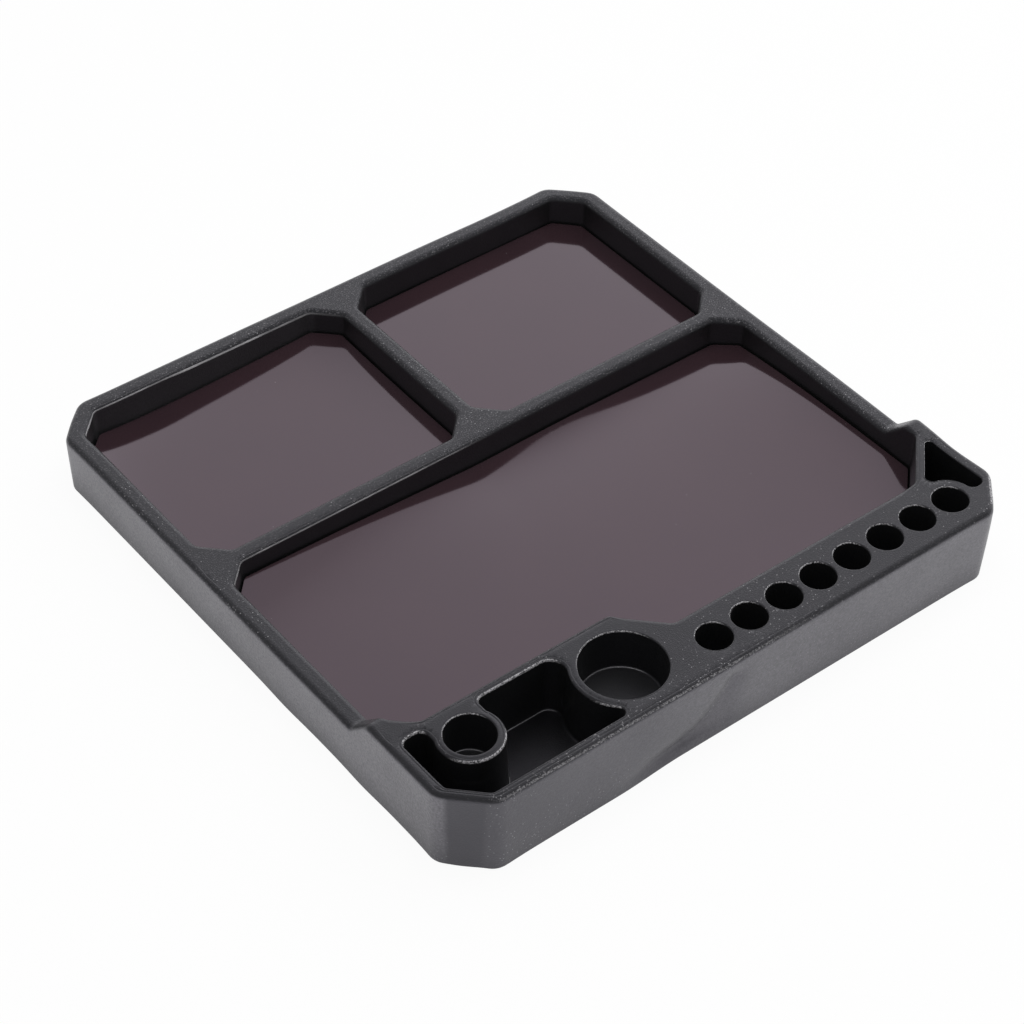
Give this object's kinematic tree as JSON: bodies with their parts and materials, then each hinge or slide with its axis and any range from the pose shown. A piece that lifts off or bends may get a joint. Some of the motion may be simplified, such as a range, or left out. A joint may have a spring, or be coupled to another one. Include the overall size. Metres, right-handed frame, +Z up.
{
  "type": "magnetic silicone parts tray",
  "caption": "Square moulded silicone tray with magnet-lined bays for loose parts and a raised tool bar with a shaped pocket, round cups and a row of tool holes.",
  "frame": {"origin": "middle of the tray's outline at the level of the skirt that it stands on", "axes": "+X along the tool bar from the shaped pocket to the end of the hole row, +Y from the tool bar to the back, +Z up"},
  "size_m": [0.2012, 0.2038, 0.0265],
  "materials": {
    "silicone": "satin",
    "magnet_rubber": "gloss"
  },
  "bodies": {
    "root": {"tray_body": "silicone", "magnet_sheet_rear_left": "magnet_rubber", "magnet_sheet_rear_right": "magnet_rubber", "magnet_sheet_main": "magnet_rubber"}
  },
  "joints": []
}
